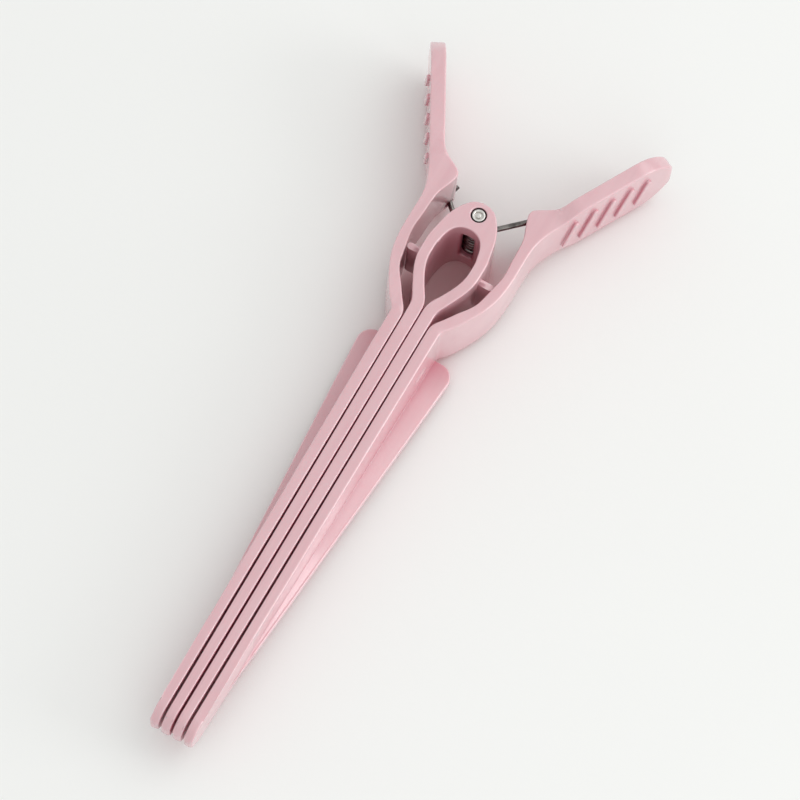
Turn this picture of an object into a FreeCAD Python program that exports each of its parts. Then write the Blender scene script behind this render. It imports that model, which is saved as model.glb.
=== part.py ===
import FreeCAD, Part
import math
import os

# A four-prong sectioning clip, lying on its side.
# X runs across the clip, Y along it towards the handles, and Z is the pin's axis.
# The mouldings are drawn about the pin's axis, on the clip's middle plane, and are
# placed at the end: the origin is under the middle of the whole clip, on the surface.

V = FreeCAD.Vector

# ---- Overall sizes
length = 110.0              # blade tips to handle ends
width = 12.0                # the loop, along the pin: the widest moulding
handle_reach = 23.2         # pin's axis to the handles' ends

# ---- Pin and spring
pin_diameter = 2.0
groove_diameter = 1.2       # outer edge of the ring pressed into each end of the pin
groove_width = 0.18
groove_depth = 0.4
pin_inset = 0.15            # pin's ends below the loop's faces
bore_relief = 0.14          # the bore's mouth, wider than the pin
relief_depth = 0.4
wire_diameter = 0.8
coil_turns = 6              # turns between the two legs' own end turns
turn_gap = 0.02             # between neighbouring turns
coil_clearance = 0.25       # coil to pin, and coil to its pocket
slot_clearance = 0.12       # outermost turn to the cheek beside it
wire_bend = 1.0             # radius of the leg's bend in the eyelet
wire_tail = 1.25            # from the eyelet to the end of the wire
long_tail = 2.1             # the left leg's end is cut longer, and shows
tail_lean = 13.0            # degrees that the wire's end leans inwards

# ---- Inner fork
crown_wall = 0.95           # plastic above the pin
crown_fullness = 2.15       # 2 is an ellipse
eye_roof = 0.3              # wall between the coil's pocket and the eye
eye_half_width = 3.1
eye_widest = 8.3            # below the pin
eye_fullness = 2.5
prongs_meet = 16.8          # below the pin
loop_wall = 1.65
prong_root = 1.9            # prong thickness where the prongs meet
prong_tip = 1.4
centre_gap_root = 0.13      # between the two inner prongs
centre_gap_tip = 0.35
window_width = 2.2          # window from the eye to the coil
window_round = 0.4
window_sill = 0.2           # cheek side of the window, inside the slot
leg_clearance = 0.12   # leg to the floor of its way out of the crown
tip_rise = 0.45             # crown of the prongs' rounded ends
nub_below_pin = 8.1
nub_reach = 0.1             # nub's tip beyond the arm's nearest line
nub_thickness = 1.0
nub_width = 7.6             # along the pin

# ---- Outer jaws
blade_gap_root = 0.13       # inner prong to blade
blade_gap_tip = 0.4
blade_root = 1.8            # blade thickness at the shoulder
blade_tip = 1.35
arm_gap = 2.0               # loop to arm, where the loop is widest
arm_thickness = 1.7         # at its bend
arm_neck = 1.6              # beside the nub
arm_head = 1.9              # level with the pin
arm_hollow = 0.4            # bow of the arm's inner face beyond the eyelet
nub_clearance = 0.1
shoulder_below_pin = 18.8
eyelet_outboard = 0.0       # eyelet beyond the arm's inner face
eyelet_above_pin = 4.3
lug_radius = 1.35
eyelet_wall = 0.95          # eyelet's centre to the lug's inner face
eyelet_clearance = 0.1      # slot to wire
lug_rise = 0.15             # lug's centre above the eyelet
lug_slope = 30.0            # degrees that the lug's top climbs outwards
crotch_round = 1.2          # where the lug's top meets the handle
elbow_distance = 8.6        # handle's outer face starts here, from pin height
handle_splay = 28.0         # degrees from the clip's axis
handle_thickness = 2.2
handle_offset = 5.55        # handle's inner face, across from the pin at pin height

# ---- Widths of the mouldings along the pin
shoulder_width = 10.0
tip_width = 5.8
tip_round = 3.2             # length of the rounded tip
waist_width = 8.7           # at the lug
pad_width = 11.0            # the finger pad
pad_round = 6.0             # length of the rounded pad end
pad_corner = 0.7            # rounded corners of the pad's end
neck_y = 4.5                # above the pin: the pad's own outline takes over
neck_start = 3.5            # along the handle, where the pad's own outline starts
flare_start = 6.5           # along the handle, where the neck starts to widen
flare_length = 4.5

# ---- Fin on the blade's outer face
fin_thickness = 1.3
fin_height = 3.45
fin_lift = 0.2              # fin's far face to the blade's far edge
fin_top = 18.9              # below the pin
fin_bottom = 77.0
fin_corner = 2.2
pit_radius = 0.5            # the small pit in the blade's outer face
pit_length = 1.6
pit_below_pin = 22.4

# ---- Grip ribs on the pad's outer face
rib_count = 5
rib_pitch = 3.1
rib_width = 0.85
rib_height = 0.5
rib_span = 7.2              # along the pin
rib_slant = 17.0            # degrees
last_rib_to_end = 5.5

# ---- Travel of one side
leg_travel = 26.0           # degrees that the spring's leg swings about the pin
jaw_travel = 11.8           # degrees that the jaw turns in all


def polar(radius, degrees):
    turn = math.radians(degrees)
    return V(radius * math.cos(turn), radius * math.sin(turn), 0)


def turned(point, degrees, centre=V(0, 0, 0)):
    """The point turned about an axis along Z through centre."""
    away = point.sub(centre)
    radius = math.hypot(away.x, away.y)
    start = math.degrees(math.atan2(away.y, away.x))
    return centre.add(polar(radius, start + degrees))


def line(start, end):
    return Part.LineSegment(start, end).toShape()


def curve(points, start_direction, end_direction):
    """A smooth curve through the points with the given end directions."""
    spline = Part.BSplineCurve()
    spline.interpolate(Points=points, InitialTangent=start_direction,
                       FinalTangent=end_direction)
    return spline


def beside(spline, share, distance):
    """A point to the left of the curve's direction, at a share of its length."""
    first, last = spline.FirstParameter, spline.LastParameter
    at = first + share * (last - first)
    direction = spline.tangent(at)[0]
    return spline.value(at).add(V(-direction.y, direction.x, 0).multiply(distance))


def prism(edges, bottom, top):
    """A solid on a closed outline of edges, between two heights along the pin."""
    wire = Part.Wire(Part.__sortEdges__(edges))
    wire.translate(V(0, 0, bottom))
    return Part.Face(wire).extrude(V(0, 0, top - bottom))


# ---------------------------------------------------------------- derived places
tip_y = handle_reach - length
crown_top = pin_diameter / 2 + crown_wall
coil_radius = pin_diameter / 2 + coil_clearance + wire_diameter / 2
pocket_radius = coil_radius + wire_diameter / 2 + coil_clearance
pitch = wire_diameter + turn_gap
leg_height = coil_turns * pitch / 2 + wire_diameter + turn_gap
slot_half = leg_height + wire_diameter / 2 + slot_clearance
eye_top = pocket_radius + eye_roof
loop_half = eye_half_width + loop_wall

prong_in_root = centre_gap_root / 2
prong_in_tip = centre_gap_tip / 2
prong_out_root = prong_in_root + prong_root
prong_out_tip = prong_in_tip + prong_tip
blade_in_root = prong_out_root + blade_gap_root
blade_in_tip = prong_out_tip + blade_gap_tip
blade_out_root = blade_in_root + blade_root
blade_out_tip = blade_in_tip + blade_tip

arm_face = loop_half + arm_gap
eyelet = V(arm_face + eyelet_outboard, eyelet_above_pin, 0)
nub_tip = V(arm_face + nub_reach, -nub_below_pin, 0)

# the leg leaves the coil on a tangent that ends in the eyelet
eyelet_far = math.hypot(eyelet.x, eyelet.y)
leg_direction = (math.degrees(math.atan2(eyelet.y, eyelet.x))
                 + math.degrees(math.asin(coil_radius / eyelet_far)))
# the crown is open above the line where the leg's underside leaves the pocket
leg_under = coil_radius + wire_diameter / 2
leg_run = math.sqrt(pocket_radius ** 2 - leg_under ** 2)
slot_floor = (leg_under * math.cos(math.radians(leg_direction))
              - leg_run * math.sin(math.radians(leg_direction)) + leg_clearance)

down = V(0, -1, 0)
up = V(0, 1, 0)
out = V(1, 0, 0)
along = polar(1, 90 - handle_splay)         # the handle's own direction
outward = polar(1, -handle_splay)           # square to its outer face


def in_jaw(point, leg_turn, jaw_turn):
    """Where a fixed point lies in the drawing of the jaw when the jaw has moved."""
    carried = turned(eyelet, leg_turn)
    return turned(point.sub(carried), -jaw_turn).add(eyelet)


def blade_line(root_x, tip_x, y):
    """X of a straight blade face at a height y."""
    share = (y + shoulder_below_pin) / (tip_y + shoulder_below_pin)
    return root_x + share * (tip_x - root_x)


def bow(half_width, top, widest, fullness):
    """A quarter of a full oval, from its top on the axis to its widest point."""
    power = 2 / fullness
    points = [V(0, top, 0)]
    for turn in (32, 55, 75):
        across = math.sin(math.radians(turn)) ** power
        height = math.cos(math.radians(turn)) ** power
        points.append(V(half_width * across, widest + (top - widest) * height, 0))
    points.append(V(half_width, widest, 0))
    return curve(points, out, down)


def mirrored(shape):
    return shape.mirror(V(0, 0, 0), out)


# ---------------------------------------------------------------- inner fork
bend_run = prongs_meet - eye_widest
eye_bend = curve([V(eye_half_width, -eye_widest, 0),
                  V(0.76 * eye_half_width, -eye_widest - 0.37 * bend_run, 0),
                  V(0.30 * eye_half_width, -eye_widest - 0.67 * bend_run, 0),
                  V(prong_in_root, -prongs_meet, 0)], down, down)
flank_bend = curve([V(loop_half, -eye_widest, 0),
                    beside(eye_bend, 0.38, loop_wall),
                    beside(eye_bend, 0.68, (loop_wall + prong_root) / 2),
                    V(prong_out_root, -prongs_meet, 0)], down, down)


def fork_outline():
    """The fork's right half, from the crown's top down to the tip and up to the eye."""
    tip_in = V(prong_in_tip, tip_y + tip_rise, 0)
    tip_out = V(prong_out_tip, tip_y + tip_rise, 0)
    tip_end = V((prong_in_tip + prong_out_tip) / 2, tip_y, 0)
    half = [bow(loop_half, crown_top, -eye_widest, crown_fullness).toShape(),
            flank_bend.toShape(),
            line(V(prong_out_root, -prongs_meet, 0), tip_out),
            Part.Arc(tip_out, tip_end, tip_in).toShape(),
            line(tip_in, V(prong_in_root, -prongs_meet, 0)),
            eye_bend.toShape(),
            bow(eye_half_width, -eye_top, -eye_widest, eye_fullness).toShape()]
    return half + [mirrored(edge) for edge in half]


def side_limits(half_edge):
    """A solid that keeps what is between a half-width edge and its mirror image."""
    reach = V(2 * length, 0, 0)
    other = [edge.mirror(V(0, 0, 0), V(0, 0, 1)) for edge in half_edge]
    first = half_edge[0].valueAt(half_edge[0].FirstParameter)
    closing = line(first, V(first.x, first.y, -first.z))
    wire = Part.Wire(Part.__sortEdges__(half_edge + other + [closing]))
    wire.translate(V(-length, 0, 0))
    return Part.Face(wire).extrude(reach)


def blade_edge(top_points):
    """Half-width along the blade: from the given points down to the rounded tip."""
    root = V(0, -shoulder_below_pin, shoulder_width / 2)
    end = V(0, tip_y + tip_round, tip_width / 2)
    slope = end.sub(root)
    tip = []
    for turn in (30, 60):
        tip.append(V(0, tip_y + tip_round * (1 - math.sin(math.radians(turn))),
                     tip_width / 2 * math.cos(math.radians(turn))))
    rounded = curve([end] + tip + [V(0, tip_y, 0)], slope, V(0, 0, -1))
    upper = curve(top_points + [root], down, slope)
    return [upper.toShape(), line(root, end), rounded.toShape()]


def inner_fork():
    body = prism(fork_outline(), -width / 2, width / 2)
    shoulder = V(0, -eye_widest, width / 2)
    top = V(0, crown_top + 1, width / 2)
    limits = side_limits([line(top, shoulder)] + blade_edge([shoulder]))
    body = body.common(limits)

    pocket = Part.makeCylinder(pocket_radius, 2 * slot_half, V(0, 0, -slot_half))
    open_top = Part.makeBox(4 * loop_half, 2 * crown_top + 2 * slot_floor, 2 * slot_half,
                            V(-2 * loop_half, -slot_floor, -slot_half))
    window = Part.makeBox(window_width, eye_top, 2 * slot_half - 2 * window_sill,
                          V(-window_width / 2, -eye_top - 1, -slot_half + window_sill))
    corners = [edge for edge in window.Edges
               if abs(edge.Vertexes[0].Y - edge.Vertexes[-1].Y) > eye_top / 2]
    window = window.makeFillet(window_round, corners)
    bore = Part.makeCylinder(pin_diameter / 2, 2 * width, V(0, 0, -width))
    mouth = Part.makeCylinder(pin_diameter / 2 + bore_relief, 2 * width, V(0, 0, -width))
    core = Part.makeCylinder(2 * pin_diameter, width - 2 * relief_depth,
                             V(0, 0, relief_depth - width / 2))
    for hollow in (pocket, open_top, window, bore, mouth.cut(core)):
        body = body.cut(hollow)
    for side in (1, -1):
        body = body.fuse(nub(side))
    return body.removeSplitter()


def nub(side):
    """The fulcrum on the fork's flank that the arm bears on."""
    half = nub_thickness / 2
    root_x = eye_half_width + loop_wall / 2
    end_x = nub_tip.x - half
    low, high = nub_tip.y - half, nub_tip.y + half
    edges = [line(V(root_x, low, 0), V(end_x, low, 0)),
             Part.Arc(V(end_x, low, 0), nub_tip, V(end_x, high, 0)).toShape(),
             line(V(end_x, high, 0), V(root_x, high, 0)),
             line(V(root_x, high, 0), V(root_x, low, 0))]
    if side < 0:
        edges = [mirrored(edge) for edge in edges]
    return prism(edges, -nub_width / 2, nub_width / 2)


# ---------------------------------------------------------------- outer jaw
land_clear = V(nub_clearance, 0, 0)
land_top = nub_tip.add(land_clear)
land_foot = in_jaw(nub_tip, leg_travel, jaw_travel).add(land_clear)
land_way = land_foot.sub(land_top).normalize()
land_start = land_top.sub(V(land_way).multiply(nub_thickness))

lug_centre = eyelet.add(V(lug_radius - eyelet_wall, lug_rise, 0))
lug_low = lug_centre.add(polar(lug_radius, 190))
lug_left = lug_centre.add(polar(lug_radius, 155))
lug_high = lug_centre.add(polar(lug_radius, 90 + lug_slope))

arm_inner = curve([lug_low,
                   V(eyelet.x + 0.15, 0.2 * eyelet.y, 0),
                   V(eyelet.x + arm_hollow, -0.35 * nub_below_pin, 0),
                   land_start], polar(1, 280), land_way)
bend_top = land_foot
bend_foot = V(blade_in_root, -shoulder_below_pin, 0)
bend_step = bend_foot.sub(bend_top)
arm_bend = curve([bend_top,
                  bend_top.add(V(0.40 * bend_step.x, 0.40 * bend_step.y, 0)),
                  bend_top.add(V(0.78 * bend_step.x, 0.71 * bend_step.y, 0)),
                  bend_foot], land_way, down)

handle_in_start = V(handle_offset, 0, 0)
handle_out_start = handle_in_start.add(V(outward).multiply(handle_thickness))
# the corner's rounding lowers the highest point of the end
corner_drop = pad_corner * (along.y - outward.y - 1)
handle_end = (handle_reach + corner_drop - handle_in_start.y) / along.y
end_in = handle_in_start.add(V(along).multiply(handle_end))
end_out = end_in.add(V(outward).multiply(handle_thickness))


def on_handle(start, distance):
    return start.add(V(along).multiply(distance))


def jaw_outline():
    """The right jaw's outline, from the blade's tip up its outer side and back."""
    tip_in = V(blade_in_tip, tip_y + tip_rise, 0)
    tip_out = V(blade_out_tip, tip_y + tip_rise, 0)
    tip_end = V((blade_in_tip + blade_out_tip) / 2, tip_y, 0)
    out_foot = V(blade_out_root, -shoulder_below_pin, 0)
    elbow = on_handle(handle_out_start, elbow_distance)
    arm_outer = curve([out_foot,
                       beside(arm_bend, 0.66, (arm_thickness + blade_root) / 2),
                       beside(arm_bend, 0.33, arm_thickness),
                       beside(arm_bend, 0.0, arm_neck),
                       beside(arm_inner, 0.72, arm_neck),
                       beside(arm_inner, 0.38, arm_head),
                       elbow], up, along)

    lug_way = polar(1, lug_slope)
    # where the lug's top meets the handle's inner face
    gap = handle_in_start.sub(lug_high)
    turn = lug_way.x * along.y - lug_way.y * along.x
    run = (gap.x * along.y - gap.y * along.x) / turn
    crotch = lug_high.add(V(lug_way).multiply(run))
    crotch_low = crotch.sub(V(lug_way).multiply(crotch_round))
    crotch_high = crotch.add(V(along).multiply(crotch_round))
    crotch_arc = curve([crotch_low, crotch_high], lug_way, along)

    end_low = end_out.sub(V(along).multiply(pad_corner))
    end_a = end_out.sub(V(outward).multiply(pad_corner))
    end_b = end_in.add(V(outward).multiply(pad_corner))
    end_high = end_in.sub(V(along).multiply(pad_corner))
    out_centre = end_low.sub(V(outward).multiply(pad_corner))
    in_centre = end_high.add(V(outward).multiply(pad_corner))
    out_middle = out_centre.add(polar(pad_corner, 45 - handle_splay))
    in_middle = in_centre.add(polar(pad_corner, 135 - handle_splay))
    return [line(V(tip_out), out_foot),
            arm_outer.toShape(),
            line(elbow, end_low),
            Part.Arc(end_low, out_middle, end_a).toShape(),
            line(end_a, end_b),
            Part.Arc(end_b, in_middle, end_high).toShape(),
            line(end_high, crotch_high),
            crotch_arc.toShape(),
            line(crotch_low, lug_high),
            Part.Arc(lug_high, lug_left, lug_low).toShape(),
            arm_inner.toShape(),
            line(land_start, bend_top),
            arm_bend.toShape(),
            line(bend_foot, tip_in),
            Part.Arc(tip_in, tip_end, tip_out).toShape()]


def pad_limits():
    """Keeps the pad's face outline: a neck that flares, then a rounded end."""
    neck = waist_width / 2
    half = pad_width / 2
    stations = [V(neck_start, 0, neck), V(flare_start, 0, neck)]
    flare_end = V(flare_start + flare_length, 0, half)
    flare = curve([stations[1], flare_end], out, out)
    straight_end = handle_end - pad_round
    tip = []
    for turn in (30, 60):
        tip.append(V(straight_end + pad_round * math.sin(math.radians(turn)), 0,
                     half * math.cos(math.radians(turn))))
    rounded = curve([V(straight_end, 0, half)] + tip + [V(handle_end, 0, 0)],
                    out, V(0, 0, -1))
    below = V(neck_start - 4 * length, 0, length)
    half_edge = [line(V(neck_start, 0, length), stations[0]),
                 line(stations[0], stations[1]),
                 flare.toShape(),
                 line(flare_end, V(straight_end, 0, half)),
                 rounded.toShape()]
    start = V(neck_start, 0, length)
    half_edge = [line(below, start)] + half_edge
    other = [edge.mirror(V(0, 0, 0), V(0, 0, 1)) for edge in half_edge]
    closing = line(below, V(below.x, 0, -below.z))
    wire = Part.Wire(Part.__sortEdges__(half_edge + other + [closing]))
    wire.translate(V(0, -length, 0))
    limits = Part.Face(wire).extrude(V(0, 2 * length, 0))
    # X of this drawing runs along the handle
    limits.rotate(V(0, 0, 0), V(0, 0, 1), 90 - handle_splay)
    limits.translate(handle_in_start)
    return limits


def jaw_limits():
    waist_top = V(0, neck_y, waist_width / 2)
    waist_foot = V(0, -0.2 * eye_widest, waist_width / 2)
    wide = V(0, neck_y, length)
    top = V(0, 2 * length, length)
    edges = [line(top, wide), line(wide, waist_top), line(waist_top, waist_foot)]
    return side_limits(edges + blade_edge([waist_foot]))


def fin(face):
    """The flat fin along one edge of the blade's outer face: -1 is the far edge."""
    sunk = blade_tip / 2
    root = blade_line(blade_out_root, blade_out_tip, -fin_top)
    foot = blade_line(blade_out_root, blade_out_tip, -fin_bottom)
    crest_x = root + fin_height
    crest = V(crest_x, -fin_top - fin_corner, 0)
    top = V(crest_x - fin_corner, -fin_top, 0)
    middle = V(crest_x - fin_corner * (1 - math.sqrt(0.5)),
               -fin_top - fin_corner * (1 - math.sqrt(0.5)), 0)
    edges = [line(V(root - sunk, -fin_top, 0), top),
             Part.Arc(top, middle, crest).toShape(),
             line(crest, V(foot, -fin_bottom, 0)),
             line(V(foot, -fin_bottom, 0), V(foot - sunk, -fin_bottom, 0)),
             line(V(foot - sunk, -fin_bottom, 0), V(root - sunk, -fin_top, 0))]
    fall = (shoulder_width - tip_width) / 2
    taper = math.atan2(fall, -tip_y - tip_round - shoulder_below_pin)
    plate = prism(edges, 0, fin_thickness)
    plate.rotate(V(0, -shoulder_below_pin, 0), V(1, 0, 0), -math.degrees(taper))
    plate.translate(V(0, 0, fin_lift - shoulder_width / 2))
    return plate if face < 0 else plate.mirror(V(0, 0, 0), V(0, 0, 1))


def side_pit():
    """A round-ended pit in the blade's outer face, on the middle plane."""
    slope = math.atan2(blade_out_root - blade_out_tip, -tip_y - shoulder_below_pin)
    way = V(-math.sin(slope), -math.cos(slope), 0)
    start = V(blade_line(blade_out_root, blade_out_tip, -pit_below_pin), -pit_below_pin, 0)
    pit = Part.makeCylinder(pit_radius, pit_length, start, way)
    for end in (start, start.add(V(way).multiply(pit_length))):
        pit = pit.fuse(Part.makeSphere(pit_radius, end))
    return pit


def grip_rib(distance, span):
    """A slanted bar with rounded ends, on the pad's outer face."""
    half = rib_width / 2
    reach = span / 2 - half
    sunk = rib_height
    bar = Part.makeBox(2 * half, sunk + rib_height, 2 * reach, V(-half, 0, -reach))
    for end in (-reach, reach):
        bar = bar.fuse(Part.makeCylinder(half, sunk + rib_height, V(0, 0, end), up))
    bar = bar.removeSplitter()
    top = [edge for edge in bar.Edges
           if min(v.Y for v in edge.Vertexes) > sunk + rib_height - 0.001]
    bar = bar.makeFillet(rib_height / 2, top)
    # the bar's Y points out of the pad; its Z runs along the pin
    bar.rotate(V(0, 0, 0), up, -rib_slant)
    bar.translate(V(0, -sunk, 0))
    bar.rotate(V(0, 0, 0), V(0, 0, 1), -90 - handle_splay)
    bar.translate(on_handle(handle_out_start, distance))
    return bar


def wire_slot():
    """Room in the lug for the bent wire, which turns in it as the jaw opens."""
    half = wire_diameter / 2 + eyelet_clearance
    swing = leg_travel - jaw_travel
    tail = 90 + tail_lean
    leg = leg_direction + 180
    reach = 3 * lug_radius
    cut = Part.makeCylinder(half, 2 * half, eyelet.add(V(0, 0, -half)))
    for start in (tail, leg):
        for turn in (start, start + swing / 2, start + swing):
            arm = Part.makeBox(reach, 2 * half, 2 * half, V(0, -half, -half))
            arm.rotate(V(0, 0, 0), V(0, 0, 1), turn)
            arm.translate(eyelet)
            cut = cut.fuse(arm)
    cut.translate(V(0, 0, leg_height))
    return cut


def outer_jaw(fin_face):
    body = prism(jaw_outline(), -width, width)
    body = body.common(jaw_limits())
    body = body.common(pad_limits())
    body = body.fuse(fin(fin_face))
    last = handle_end - last_rib_to_end
    for number in range(rib_count):
        end_one = number in (0, rib_count - 1)
        span = rib_span - (1.0 if end_one else 0.0)
        body = body.fuse(grip_rib(last - number * rib_pitch, span))
    for hollow in (wire_slot(), side_pit()):
        body = body.cut(hollow)
    return body.removeSplitter()


# ---------------------------------------------------------------- pin and spring
def pivot_pin():
    height = width - 2 * pin_inset
    pin = Part.makeCylinder(pin_diameter / 2, height, V(0, 0, -height / 2))
    ring = Part.makeCylinder(groove_diameter / 2, height, V(0, 0, -height / 2))
    ring = ring.cut(Part.makeCylinder(groove_diameter / 2 - groove_width, 2 * height,
                                      V(0, 0, -height)))
    middle = Part.makeCylinder(pin_diameter, height - 2 * groove_depth,
                               V(0, 0, groove_depth - height / 2))
    return pin.cut(ring.cut(middle))


def round_wire(path, start, direction):
    """Round wire along a path."""
    section = Part.Wire(Part.Circle(start, direction, wire_diameter / 2).toShape())
    return Part.Wire(path).makePipeShell([section], True, True)


def spring_coil():
    height = coil_turns * pitch
    helix = Part.makeHelix(pitch, height, coil_radius)
    slope = math.atan2(pitch, 2 * math.pi * coil_radius)
    start_way = V(0, math.cos(slope), math.sin(slope))
    coil = round_wire(helix.Edges, V(coil_radius, 0, 0), start_way)
    coil.translate(V(0, 0, -height / 2))
    coil.rotate(V(0, 0, 0), V(0, 0, 1), 90)
    return coil


def spring_leg(tail):
    """A right leg: an end turn about the pin, a straight run and a bent tail."""
    way = polar(1, leg_direction)
    tail_way = polar(1, 90 + tail_lean)
    leave = polar(coil_radius, leg_direction - 90)
    begin = polar(coil_radius, -270)
    middle = polar(coil_radius, (leg_direction - 90 - 270) / 2)
    half_turn = (90 + tail_lean - leg_direction) / 2
    setback = wire_bend * math.tan(math.radians(half_turn))
    bend_in = eyelet.sub(V(way).multiply(setback))
    bend_out = eyelet.add(V(tail_way).multiply(setback))
    centre = bend_in.add(V(-way.y, way.x, 0).multiply(wire_bend))
    bend_mid = centre.add(eyelet.sub(centre).normalize().multiply(wire_bend))
    path = [Part.Arc(begin, middle, leave).toShape(),
            line(leave, bend_in),
            Part.Arc(bend_in, bend_mid, bend_out).toShape(),
            line(bend_out, eyelet.add(V(tail_way).multiply(tail)))]
    leg = round_wire(path, begin, V(-1, 0, 0))
    leg.translate(V(0, 0, leg_height))
    return leg


# ---------------------------------------------------------------- build and write
def other_side(shape):
    """The same piece turned half round about the clip's long axis."""
    copy = shape.copy()
    copy.rotate(V(0, 0, 0), up, 180)
    return copy


leg = spring_leg(wire_tail)
nodes = {
    "inner_fork": inner_fork(),
    "outer_jaw_right": outer_jaw(-1),
    "outer_jaw_left": other_side(outer_jaw(1)),
    "pivot_pin": pivot_pin(),
    "spring_coil": spring_coil(),
    "spring_leg_right": leg,
    "spring_leg_left": other_side(spring_leg(long_tail)),
}
pin_place = V(0, length / 2 - handle_reach, width / 2)

os.makedirs("parts", exist_ok=True)
for name, shape in nodes.items():
    placed = shape.copy()
    placed.translate(pin_place)
    placed.exportStep("parts/" + name + ".step")
    box = placed.BoundBox
    print(name, "valid", placed.isValid(), "solids", len(placed.Solids),
          "volume", round(placed.Volume, 1),
          "x", round(box.XMin, 2), round(box.XMax, 2),
          "y", round(box.YMin, 2), round(box.YMax, 2),
          "z", round(box.ZMin, 2), round(box.ZMax, 2))
print("eyelet", eyelet.add(pin_place), "leg height", leg_height, "leg direction", leg_direction)
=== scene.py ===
# %% [markdown]
# A sectioning clip, seen from above as it lies on a white table.
# It is made of five pieces: an inner fork with a teardrop loop, two outer jaws with
# finned blades, a pin and a torsion spring. A hairdresser squeezes the handles, and the
# jaws swing away from the fork.
# The CAD frame already holds every shape and joint, so this script adds what a drawing
# lacks: softened edges, moulded plastic, steel, light and a camera.

# %% Load the frame
import bmesh
import bpy
import math
from mathutils import Matrix, Vector


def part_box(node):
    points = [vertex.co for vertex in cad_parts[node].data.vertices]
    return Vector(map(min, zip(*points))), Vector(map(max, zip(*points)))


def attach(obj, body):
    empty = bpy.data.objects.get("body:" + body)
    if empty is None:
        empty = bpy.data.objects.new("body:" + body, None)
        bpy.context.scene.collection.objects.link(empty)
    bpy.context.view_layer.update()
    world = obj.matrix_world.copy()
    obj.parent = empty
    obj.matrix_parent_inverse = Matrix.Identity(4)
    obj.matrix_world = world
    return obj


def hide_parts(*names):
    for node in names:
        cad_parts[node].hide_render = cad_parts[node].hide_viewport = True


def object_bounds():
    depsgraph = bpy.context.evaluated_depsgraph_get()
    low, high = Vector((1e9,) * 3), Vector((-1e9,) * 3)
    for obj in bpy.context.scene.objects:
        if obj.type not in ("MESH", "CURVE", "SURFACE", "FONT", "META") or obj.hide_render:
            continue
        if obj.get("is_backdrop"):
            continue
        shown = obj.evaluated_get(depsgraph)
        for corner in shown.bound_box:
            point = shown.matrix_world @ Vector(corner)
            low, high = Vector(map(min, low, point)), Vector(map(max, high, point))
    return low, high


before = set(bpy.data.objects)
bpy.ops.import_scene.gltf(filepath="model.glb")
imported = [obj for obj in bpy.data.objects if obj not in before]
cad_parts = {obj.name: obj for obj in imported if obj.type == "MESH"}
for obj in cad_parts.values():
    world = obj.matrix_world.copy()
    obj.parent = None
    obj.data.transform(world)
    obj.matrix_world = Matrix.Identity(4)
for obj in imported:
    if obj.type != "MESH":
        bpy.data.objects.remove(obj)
cad_box = [list(corner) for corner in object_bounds()]
MM = 0.001
pin_low, pin_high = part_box("pivot_pin")
pin_middle = (pin_low + pin_high) / 2
print("nodes:", sorted(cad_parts))
print("pin axis at y =", round(pin_middle.y / MM, 2), "mm, middle plane at z =",
      round(pin_middle.z / MM, 2), "mm")

# %% [markdown]
# The camera looks down on the clip with a long lens, a little from the right and from the
# blades' end, and it is rolled so that the blades run to the lower left. A long lens from
# far away keeps the four prongs nearly parallel, as the eye sees such a small thing.
# Its place follows from an aim point, two angles, a roll and a distance. Each of these
# can be turned on a real tripod, and they are easier to adjust than a matrix.

# %% Camera
CAMERA_AZIMUTH = math.radians(21.8)
CAMERA_HEIGHT = math.radians(67.6)
CAMERA_ROLL = math.radians(7.84)
CAMERA_DISTANCE = 700.0 * MM
LENS = 225.0
AIM = pin_middle + Vector((3.15, -27.95, 0.0)) * MM


def camera_axes(azimuth, height, roll):
    """Right, up and backward directions of a camera with those angles."""
    back = Vector((math.sin(azimuth) * math.cos(height),
                   -math.cos(azimuth) * math.cos(height), math.sin(height)))
    level = Vector((math.cos(azimuth), math.sin(azimuth), 0.0))
    upright = back.cross(level)
    right = level * math.cos(roll) + upright * math.sin(roll)
    return right, back.cross(right), back


view_right, view_up, view_back = camera_axes(CAMERA_AZIMUTH, CAMERA_HEIGHT, CAMERA_ROLL)
lens = bpy.data.cameras.new("camera")
lens.lens = LENS
camera = bpy.data.objects.new("camera", lens)
bpy.context.scene.collection.objects.link(camera)
turn = Matrix((view_right, view_up, view_back)).transposed().to_4x4()
camera.matrix_world = Matrix.Translation(AIM + view_back * CAMERA_DISTANCE) @ turn
bpy.context.scene.camera = camera
print("camera stands", round(CAMERA_DISTANCE, 3), "m from the aim point")

# %% [markdown]
# A material is a small sum: masks are added, multiplied and turned round until they say
# how rough or how pale each spot is. Wiring Math nodes by hand hides that sum, so one
# class wraps a socket and lets Python's own signs make the nodes. Everything that isn't
# arithmetic, such as a noise or a bump, comes from one method of the finish.

# %% Shader arithmetic
def connect(tree, socket, value):
    if isinstance(value, Field):
        tree.links.new(value.socket, socket)
    else:
        socket.default_value = value


class Field:
    """A value that varies over a surface, as an output socket with arithmetic."""

    def __init__(self, tree, socket):
        self.tree = tree
        self.socket = socket

    def work_out(self, operation, *values):
        node = self.tree.nodes.new("ShaderNodeMath")
        node.operation = operation
        for place, value in enumerate(values):
            connect(self.tree, node.inputs[place], value)
        return Field(self.tree, node.outputs[0])

    def __add__(self, other):
        return self.work_out("ADD", self, other)

    def __sub__(self, other):
        return self.work_out("SUBTRACT", self, other)

    def __rsub__(self, other):
        return self.work_out("SUBTRACT", other, self)

    def __mul__(self, other):
        return self.work_out("MULTIPLY", self, other)

    def __lt__(self, other):
        return self.work_out("LESS_THAN", self, other)

    __radd__ = __add__
    __rmul__ = __mul__

    def size(self):
        return self.work_out("ABSOLUTE", self)

    def held(self):
        """The value kept between 0 and 1."""
        kept = self.work_out("ADD", self, 0.0)
        kept.socket.node.use_clamp = True
        return kept


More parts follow.
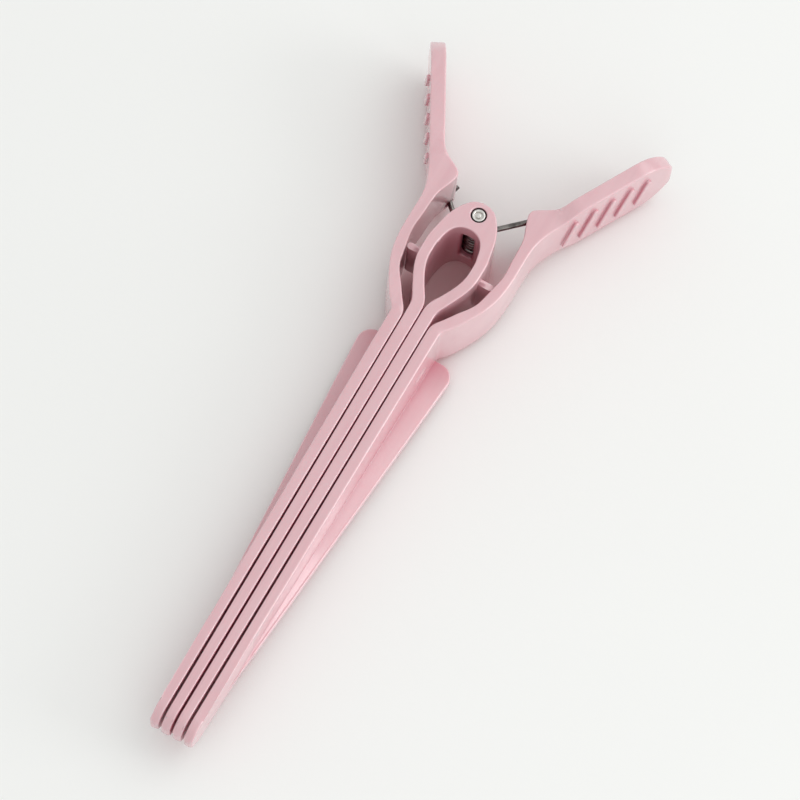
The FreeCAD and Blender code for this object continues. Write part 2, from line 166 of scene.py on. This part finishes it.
class Finish:
    """A material in the making: its node tree, its shader and one node-making method."""

    def __init__(self, name):
        self.material = bpy.data.materials.new(name)
        self.material.use_nodes = True
        self.tree = self.material.node_tree
        self.shader = self.tree.nodes["Principled BSDF"]
        self.place = self.node("ShaderNodeTexCoord", {}, {}, "Object")

    def node(self, kind, settings, sockets, output=0):
        made = self.tree.nodes.new(kind)
        for name, value in settings.items():
            if name == "stops":
                set_stops(made.color_ramp, value)
            else:
                setattr(made, name, value)
        for name, value in sockets.items():
            connect(self.tree, made.inputs[name], value)
        return Field(self.tree, made.outputs[output])

    def noise(self, scale, detail=3.0, roughness=0.5, place=None):
        return self.node("ShaderNodeTexNoise", {},
                         {"Vector": place or self.place, "Scale": scale,
                          "Detail": detail, "Roughness": roughness})

    def stretched(self, x, y, z):
        """The piece's own coordinates, scaled apart along the three axes."""
        return self.node("ShaderNodeVectorMath", {"operation": "MULTIPLY"},
                         {0: self.place, 1: (x, y, z)})

    def along(self, axis):
        return self.node("ShaderNodeSeparateXYZ", {}, {0: self.place}, axis)

    def ramp(self, value, stops):
        return self.node("ShaderNodeValToRGB", {"stops": stops}, {"Fac": value})

    def blend(self, share, first, second):
        """A colour between two colours."""
        return self.node("ShaderNodeMix", {"data_type": "RGBA"},
                         {0: share, 6: first, 7: second}, 2)

    def bump(self, height, distance, strength=1.0):
        return self.node("ShaderNodeBump", {},
                         {"Height": height, "Distance": distance, "Strength": strength})

    def set(self, **values):
        for name, value in values.items():
            connect(self.tree, self.shader.inputs[name.replace("_", " ")], value)


def set_stops(ramp, stops):
    while len(ramp.elements) > 1:
        ramp.elements.remove(ramp.elements[-1])
    for number, (position, shade) in enumerate(stops):
        element = ramp.elements[0] if number == 0 else ramp.elements.new(position)
        element.position = position
        element.color = (shade, shade, shade, 1.0)


print("shader arithmetic ready")

# %% [markdown]
# Three places on these mouldings need a mask, a value that is 1 there and 0 elsewhere.
# Edges are found by asking what the normal would be if they were rounded more, hollows by
# asking how much of the sky a spot sees, and the pin's surroundings by their distance
# from its axis. Painted maps would do the same, but they need unwrapping, and they go
# stale as soon as a size changes.

# %% Masks for the mouldings
EDGE_RADIUS = 0.30 * MM
HOLLOW_REACH = 7.0 * MM
CREVICE_REACH = 2.0 * MM


def edge_mask(finish, radius):
    """1 on the pieces' edges and 0 on their faces."""
    rounded = finish.node("ShaderNodeBevel", {"samples": 4}, {"Radius": radius})
    flat = finish.node("ShaderNodeNewGeometry", {}, {}, "Normal")
    agree = finish.node("ShaderNodeVectorMath", {"operation": "DOT_PRODUCT"},
                        {0: rounded, 1: flat}, "Value")
    return ((1.0 - agree) * 5.0).held()


def hollow_mask(finish):
    """Near 1 inside the eye and between the prongs, where shade is painted, and 0 on open
    faces.
    """
    own_sky = finish.node("ShaderNodeAmbientOcclusion", {"samples": 6, "only_local": True},
                          {"Distance": HOLLOW_REACH}, "AO")
    near_sky = finish.node("ShaderNodeAmbientOcclusion", {"samples": 6},
                           {"Distance": CREVICE_REACH}, "AO")
    return (1.9 * (0.78 - own_sky).held() + 1.2 * (0.72 - near_sky).held()).held()


def from_pin_axis(finish, centre):
    """Distance from the pin's axis, for marks that run round the pin."""
    away = finish.node("ShaderNodeVectorMath", {"operation": "SUBTRACT"},
                       {0: finish.place, 1: centre})
    flat = finish.node("ShaderNodeVectorMath", {"operation": "MULTIPLY"},
                       {0: away, 1: (1.0, 1.0, 0.0)})
    return finish.node("ShaderNodeVectorMath", {"operation": "LENGTH"}, {0: flat}, "Value")


print("edge, hollow and pin masks ready")

# %% [markdown]
# The mouldings are a dusty rose plastic with a satin skin. Real moulded plastic is never
# one colour: the melt leaves faint streaks along the blade, and the mould's spark-eroded
# steel leaves a fine grain. The edges are painted paler, partly as wear from fingers and
# partly as a painted highlight along them. A hairline parting seam runs round the middle
# plane where the two halves of the mould met. In the eye and between the prongs, light goes
# from rose wall to rose wall, and that is painted in as a deep wine shade with a thinner
# coat, since the skin there has no sky to mirror. The ring round the pin is painted
# near-black, as painted shade for the gap between pin and bore.
# Streaks, clouds and grain are noises in the piece's own coordinates, so they move with
# the jaw.

# %% Rose plastic
ROSE = (0.718, 0.432, 0.472, 1.0)
ROSE_DEEP = (0.678, 0.386, 0.427, 1.0)
# Pale edge colour: partly wear from fingers, partly a painted highlight along the edges.
ROSE_WORN_AND_HIGHLIT = (0.930, 0.740, 0.765, 1.0)
# Wine: painted shade for the hollows, where light bounces between rose walls.
WINE_PAINTED_SHADE = (0.600, 0.170, 0.235, 1.0)
# Near-black: painted shade for the gap round the pin.
PIN_GAP_SHADE = (0.110, 0.045, 0.055, 1.0)
PIN_GAP_SHADE_REACH = 1.17 * MM
SEAM_HALF = 0.07 * MM
STREAKS_PER_M = (700.0, 45.0, 260.0)
CLOUDS_PER_M = 90.0
GRAIN_PER_M = 5200.0
RUBS_PER_M = 420.0


def rose_plastic(name, centre):
    finish = Finish(name)
    streaks = finish.noise(1.0, 4.0, 0.6, finish.stretched(*STREAKS_PER_M))
    clouds = finish.noise(CLOUDS_PER_M, 3.0)
    grain = finish.noise(GRAIN_PER_M, 2.0, 0.7)
    rubs = finish.noise(RUBS_PER_M, 4.0, 0.65)
    # Edge mask: partly wear, partly painted highlight; it also lowers the roughness there.
    wear_and_edge_highlight = (edge_mask(finish, EDGE_RADIUS) * (0.45 + 0.6 * rubs)).held()
    # Painted shade mask: it turns the hollows wine and thins their coat.
    hollow_shade = hollow_mask(finish)
    seam = (finish.along("Z") - centre[2]).size() < SEAM_HALF
    tone = (0.55 * streaks + 0.45 * clouds).held()
    body = finish.blend(finish.ramp(tone, [(0.36, 0.0), (0.62, 1.0)]), ROSE_DEEP, ROSE)
    colour = finish.blend((0.75 * wear_and_edge_highlight).held(), finish.blend(hollow_shade, body, WINE_PAINTED_SHADE), ROSE_WORN_AND_HIGHLIT)
    # Painted shade: the plastic round the pin is near-black, for the gap's shadow.
    colour = finish.blend(from_pin_axis(finish, centre) < PIN_GAP_SHADE_REACH, colour, PIN_GAP_SHADE)
    finish.set(Base_Color=colour,
               Roughness=(0.34 + 0.10 * clouds + 0.08 * grain - 0.12 * wear_and_edge_highlight).held(),
               IOR=1.55, Coat_Weight=(1.0 - 0.9 * hollow_shade).held(), Coat_Roughness=0.16,
               Coat_IOR=1.9, Subsurface_Weight=0.20, Subsurface_Scale=1.2 * MM,
               Subsurface_Radius=(1.0, 0.42, 0.48),
               Normal=finish.bump(0.75 * grain + 0.25 * streaks + 0.6 * seam, 0.011 * MM))
    return finish.material


plastic = rose_plastic("rose_plastic_satin", tuple(pin_middle))
print("rose plastic has", len(plastic.node_tree.nodes), "nodes")

# %% [markdown]
# The pin is nickel-plated and the spring is dark drawn wire. Both are plain metal, so
# their look is mostly in the roughness: turning rings on the pin's ends, and fine lines
# that the drawing die leaves along the wire. The pin's rim is painted near-black, as
# painted shade for the gap round the pin, and that dark ring is what sets the pin off
# from the plastic.

# %% Steel finishes
RIM_START = 0.92 * MM
# Near-black: painted shade on the pin's rim.
PIN_RIM_SHADE = (0.06, 0.045, 0.05, 1.0)
PIN_DULL = (0.58, 0.56, 0.54, 1.0)
PIN_BRIGHT = (0.83, 0.81, 0.78, 1.0)
TURNED_RINGS_PER_M = 26000.0
WIRE_DARK = (0.08, 0.07, 0.07, 1.0)
WIRE_LIGHT = (0.25, 0.23, 0.22, 1.0)
DIE_LINES_PER_M = (900.0, 900.0, 9000.0)
SCRATCH_DEPTH = 0.004 * MM


def pin_steel(name, centre):
    finish = Finish(name)
    radius = from_pin_axis(finish, centre)
    rings = finish.node("ShaderNodeTexNoise", {"noise_dimensions": "1D"},
                        {"W": radius, "Scale": TURNED_RINGS_PER_M, "Detail": 2.0})
    spots = finish.noise(1500.0, 4.0, 0.65)
    steel = finish.blend(finish.ramp(spots, [(0.30, 0.0), (0.70, 1.0)]), PIN_DULL, PIN_BRIGHT)
    # Painted shade: the pin's rim is near-black, for the shadow in the gap round it.
    finish.set(Base_Color=finish.blend(radius < RIM_START, PIN_RIM_SHADE, steel), Metallic=1.0,
               Roughness=(0.14 + 0.14 * rings + 0.08 * spots).held(),
               Normal=finish.bump(rings, SCRATCH_DEPTH))
    return finish.material


def spring_wire(name):
    finish = Finish(name)
    lines = finish.noise(1.0, 3.0, 0.6, finish.stretched(*DIE_LINES_PER_M))
    spots = finish.noise(900.0, 4.0, 0.6)
    shade = finish.ramp(spots, [(0.34, 0.0), (0.60, 1.0)])
    finish.set(Base_Color=finish.blend(shade, WIRE_DARK, WIRE_LIGHT), Metallic=1.0,
               Roughness=(0.12 + 0.14 * lines).held(),
               Normal=finish.bump(lines, SCRATCH_DEPTH))
    return finish.material


plated = pin_steel("pin_steel_bright", tuple(pin_middle))
drawn = spring_wire("spring_wire_dark")
print("steel finishes:", plated.name, drawn.name)

# %% [markdown]
# A mould has no knife edges: each long edge of these pieces is rounded by about a quarter
# of a millimetre, and that rounding catches the light as a thin bright line. A normal map
# could fake the line, but the outline at the tips and the pin's chamfer would stay hard,
# so the edges are really cut. Each piece is a copy of its CAD solid: flat facets are
# joined first, then every convex edge sharper than a threshold is bevelled. The fin's
# tail needs one more step: it runs out to nothing on the blade, thinner there than the
# rounding itself, so the mesh is cut across where the tail starts, and its edges beyond
# the cut can be left alone.

# %% Softened copies of the CAD solids
SHARP = math.radians(34.0)
NEARLY_FLAT = math.radians(0.4)
SHADING_BREAK = math.radians(40.0)
SAME_CORNER = 0.0005 * MM
ROUND_STEPS = 3
FIN_TAIL = 70.0 * MM


def merged(mesh):
    """The mesh as a BMesh with its corners joined and its flat facets merged."""
    shape = bmesh.new()
    shape.from_mesh(mesh)
    bmesh.ops.remove_doubles(shape, verts=shape.verts, dist=SAME_CORNER)
    bmesh.ops.dissolve_limit(shape, angle_limit=NEARLY_FLAT, verts=shape.verts,
                             edges=shape.edges)
    return shape


def edges_to_round(shape, skipped):
    """The sharp convex edges, apart from those in places that are skipped."""
    chosen = []
    for edge in shape.edges:
        if len(edge.link_faces) != 2 or not edge.is_convex:
            continue
        if edge.calc_face_angle() < SHARP:
            continue
        middle = (edge.verts[0].co + edge.verts[1].co) / 2
        if not skipped(middle - pin_middle):
            chosen.append(edge)
    return chosen


def softened(node, radius, skipped):
    """A copy of a CAD node with its sharp convex edges rounded, outside skipped places."""
    shape = merged(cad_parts[node].data)
    everything = shape.verts[:] + shape.edges[:] + shape.faces[:]
    bmesh.ops.bisect_plane(shape, geom=everything, plane_no=(0.0, 1.0, 0.0),
                           plane_co=pin_middle - Vector((0.0, FIN_TAIL, 0.0)))
    chosen = edges_to_round(shape, skipped)
    corners = list({vert for edge in chosen for vert in edge.verts})
    bmesh.ops.bevel(shape, geom=corners + chosen, offset=radius, segments=ROUND_STEPS,
                    profile=0.5, affect="EDGES", clamp_overlap=False)
    mesh = bpy.data.meshes.new(node + "_soft")
    shape.to_mesh(mesh)
    shape.free()
    piece = bpy.data.objects.new(node + "_soft", mesh)
    bpy.context.scene.collection.objects.link(piece)
    mesh.set_sharp_from_angle(angle=SHADING_BREAK)
    for face in mesh.polygons:
        face.use_smooth = True
    steady = piece.modifiers.new("even_shading", "WEIGHTED_NORMAL")
    steady.keep_sharp = True
    print(node, "rounded on", len(chosen), "edges,", len(mesh.polygons), "faces")
    return piece


print("edges sharper than", round(math.degrees(SHARP)), "degrees will be rounded")

# %% [markdown]
# Some edges stay as they are. The coil's pocket and the wire's slot are cut by thin steel
# in the mould, and they are too small and too deep to be rounded. Each rule below takes a
# place measured from the pin's middle, and says whether an edge there is left sharp.

# %% Edges left sharp
POCKET_HALF = 4.0 * MM
POCKET_FOOT = 9.0 * MM
SLOT_HALF = 4.0 * MM
SLOT_START = 2.0 * MM
SLOT_REACH = 9.0 * MM
FIN_FOOT = 77.4 * MM
BLADE_MIDDLE = 2.8 * MM


def in_pocket(at):
    return abs(at.z) < POCKET_HALF and at.y > -POCKET_FOOT


def in_slot_or_fin_tail(at):
    by_lug = SLOT_START < at.y < SLOT_REACH and abs(at.x) < SLOT_REACH
    on_tail = -FIN_FOOT < at.y < -FIN_TAIL and abs(at.x) > BLADE_MIDDLE
    return (abs(at.z) < SLOT_HALF and by_lug) or on_tail


def nowhere(at):
    return False


print("sharp places: the coil's pocket, the wire's slots and the fins' tails")

# %% [markdown]
# Each softened copy takes its plastic or steel, rides on the body that carries the CAD
# piece, and stands in for that piece, so it opens and closes with the real joints.

# %% Mouldings and pin
MOULDED_EDGE = 0.22 * MM
PIN_EDGE = 0.14 * MM


def dressed(node, body, finish, radius, skipped):
    piece = softened(node, radius, skipped)
    piece.data.materials.append(finish)
    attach(piece, body)
    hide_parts(node)
    return piece


dressed("inner_fork", "fork", plastic, MOULDED_EDGE, in_pocket)
for side in ("left", "right"):
    dressed("outer_jaw_" + side, "jaw_" + side, plastic, MOULDED_EDGE,
            in_slot_or_fin_tail)
dressed("pivot_pin", "fork", plated, PIN_EDGE, nowhere)

# %% [markdown]
# The coil and the two legs are already true swept wire in the CAD model, so they stay and
# only take the drawn-wire finish.

# %% Spring
for node in ("spring_coil", "spring_leg_left", "spring_leg_right"):
    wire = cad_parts[node]
    for slot in wire.material_slots:
        slot.material = drawn
print("spring wire finished")

# %% [markdown]
# The table is a plain white sheet with the faintest grain, large enough to reach past
# every view. It lies just under the clip, and it is marked as part of the stage, so that
# it stays out of the finished model.

# %% Table
TABLE_HALF = 2.0
TABLE_DROP = 0.02 * MM
table_mesh = bpy.data.meshes.new("table")
table_shape = bmesh.new()
bmesh.ops.create_grid(table_shape, x_segments=8, y_segments=8, size=TABLE_HALF)
table_shape.to_mesh(table_mesh)
table_shape.free()
table = bpy.data.objects.new("table", table_mesh)
table.location.z = -TABLE_DROP
bpy.context.scene.collection.objects.link(table)
table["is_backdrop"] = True
print("table is", 2 * TABLE_HALF, "m wide")

# %% [markdown]
# Inside the eye and between the prongs the sheet gets nearly all its light off rose
# walls. The bounced light alone looked too weak there, so the sheet's own colour is
# tinted where little sky reaches it.

# %% White sheet
SHEET_LOW = (0.86, 0.86, 0.85, 1.0)
SHEET_HIGH = (0.90, 0.90, 0.895, 1.0)
SHEET_ROSY = (0.86, 0.44, 0.48, 1.0)
ROSE_LIGHT_REACH = 9.0 * MM

sheet = Finish("white_table")
mottle = sheet.noise(9.0, 3.0)
fibre = sheet.noise(1800.0, 3.0, 0.6)
sky = sheet.node("ShaderNodeAmbientOcclusion", {"samples": 6},
                 {"Distance": ROSE_LIGHT_REACH}, "AO")
rosy = (3.2 * (0.42 - sky)).held()
white = sheet.blend(mottle, SHEET_LOW, SHEET_HIGH)
sheet.set(Base_Color=sheet.blend(rosy, white, SHEET_ROSY),
          Roughness=(0.50 + 0.12 * fibre).held(),
          Normal=sheet.bump(fibre, 0.01 * MM))
table_mesh.materials.append(sheet.material)
print("white sheet has", len(sheet.tree.nodes), "nodes")

# %% [markdown]
# One big soft window of light stands to the right, so the clip's shadow falls softly to
# the left. A low one beside it draws the bright line along every edge that turns to the
# right. A weaker one opens the shadows from the blades' end, and the white room fills in.

# %% Light
def soft_light(name, toward, distance, size, power, colour):
    lamp = bpy.data.lights.new(name, "AREA")
    lamp.shape = "DISK"
    lamp.size = size
    lamp.energy = power
    lamp.color = colour
    holder = bpy.data.objects.new(name, lamp)
    bpy.context.scene.collection.objects.link(holder)
    way = toward.normalized()
    holder.location = AIM + way * distance
    holder.rotation_euler = way.to_track_quat("Z", "Y").to_euler()
    return holder


floor_up = Vector((view_up.x, view_up.y, 0.0)).normalized()
floor_right = Vector((view_right.x, view_right.y, 0.0)).normalized()
overhead = Vector((0.0, 0.0, 1.0))
soft_light("window_light", floor_right * 0.80 + floor_up * 0.35 + overhead,
           distance=0.9, size=0.90, power=1.7, colour=(1.0, 0.99, 0.975))
soft_light("edge_light", floor_right - floor_up * 0.20 + overhead * 0.34,
           distance=0.8, size=0.45, power=1.5, colour=(1.0, 1.0, 1.0))
soft_light("fill_light", floor_right * 0.2 - floor_up * 0.9 + overhead * 0.9,
           distance=1.1, size=0.9, power=0.8, colour=(0.97, 0.99, 0.985))

room = bpy.data.worlds.new("room")
room.use_nodes = True
air = room.node_tree.nodes["Background"]
air.inputs["Color"].default_value = (0.985, 1.0, 0.985, 1.0)
air.inputs["Strength"].default_value = 0.79
bpy.context.scene.world = room
bpy.context.scene.view_settings.view_transform = "Standard"
print("lights:", sorted(light.name for light in bpy.data.lights))

# %% [markdown]
# Last, the finished model's box is printed beside the CAD box, to see whether the looks
# have changed the object's size.

# %% Sizes
seen_box = [list(corner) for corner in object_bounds()]
for name, corners in (("cad", cad_box), ("visual", seen_box)):
    print(name, "box in mm:", [[round(v / MM, 2) for v in corner] for corner in corners])
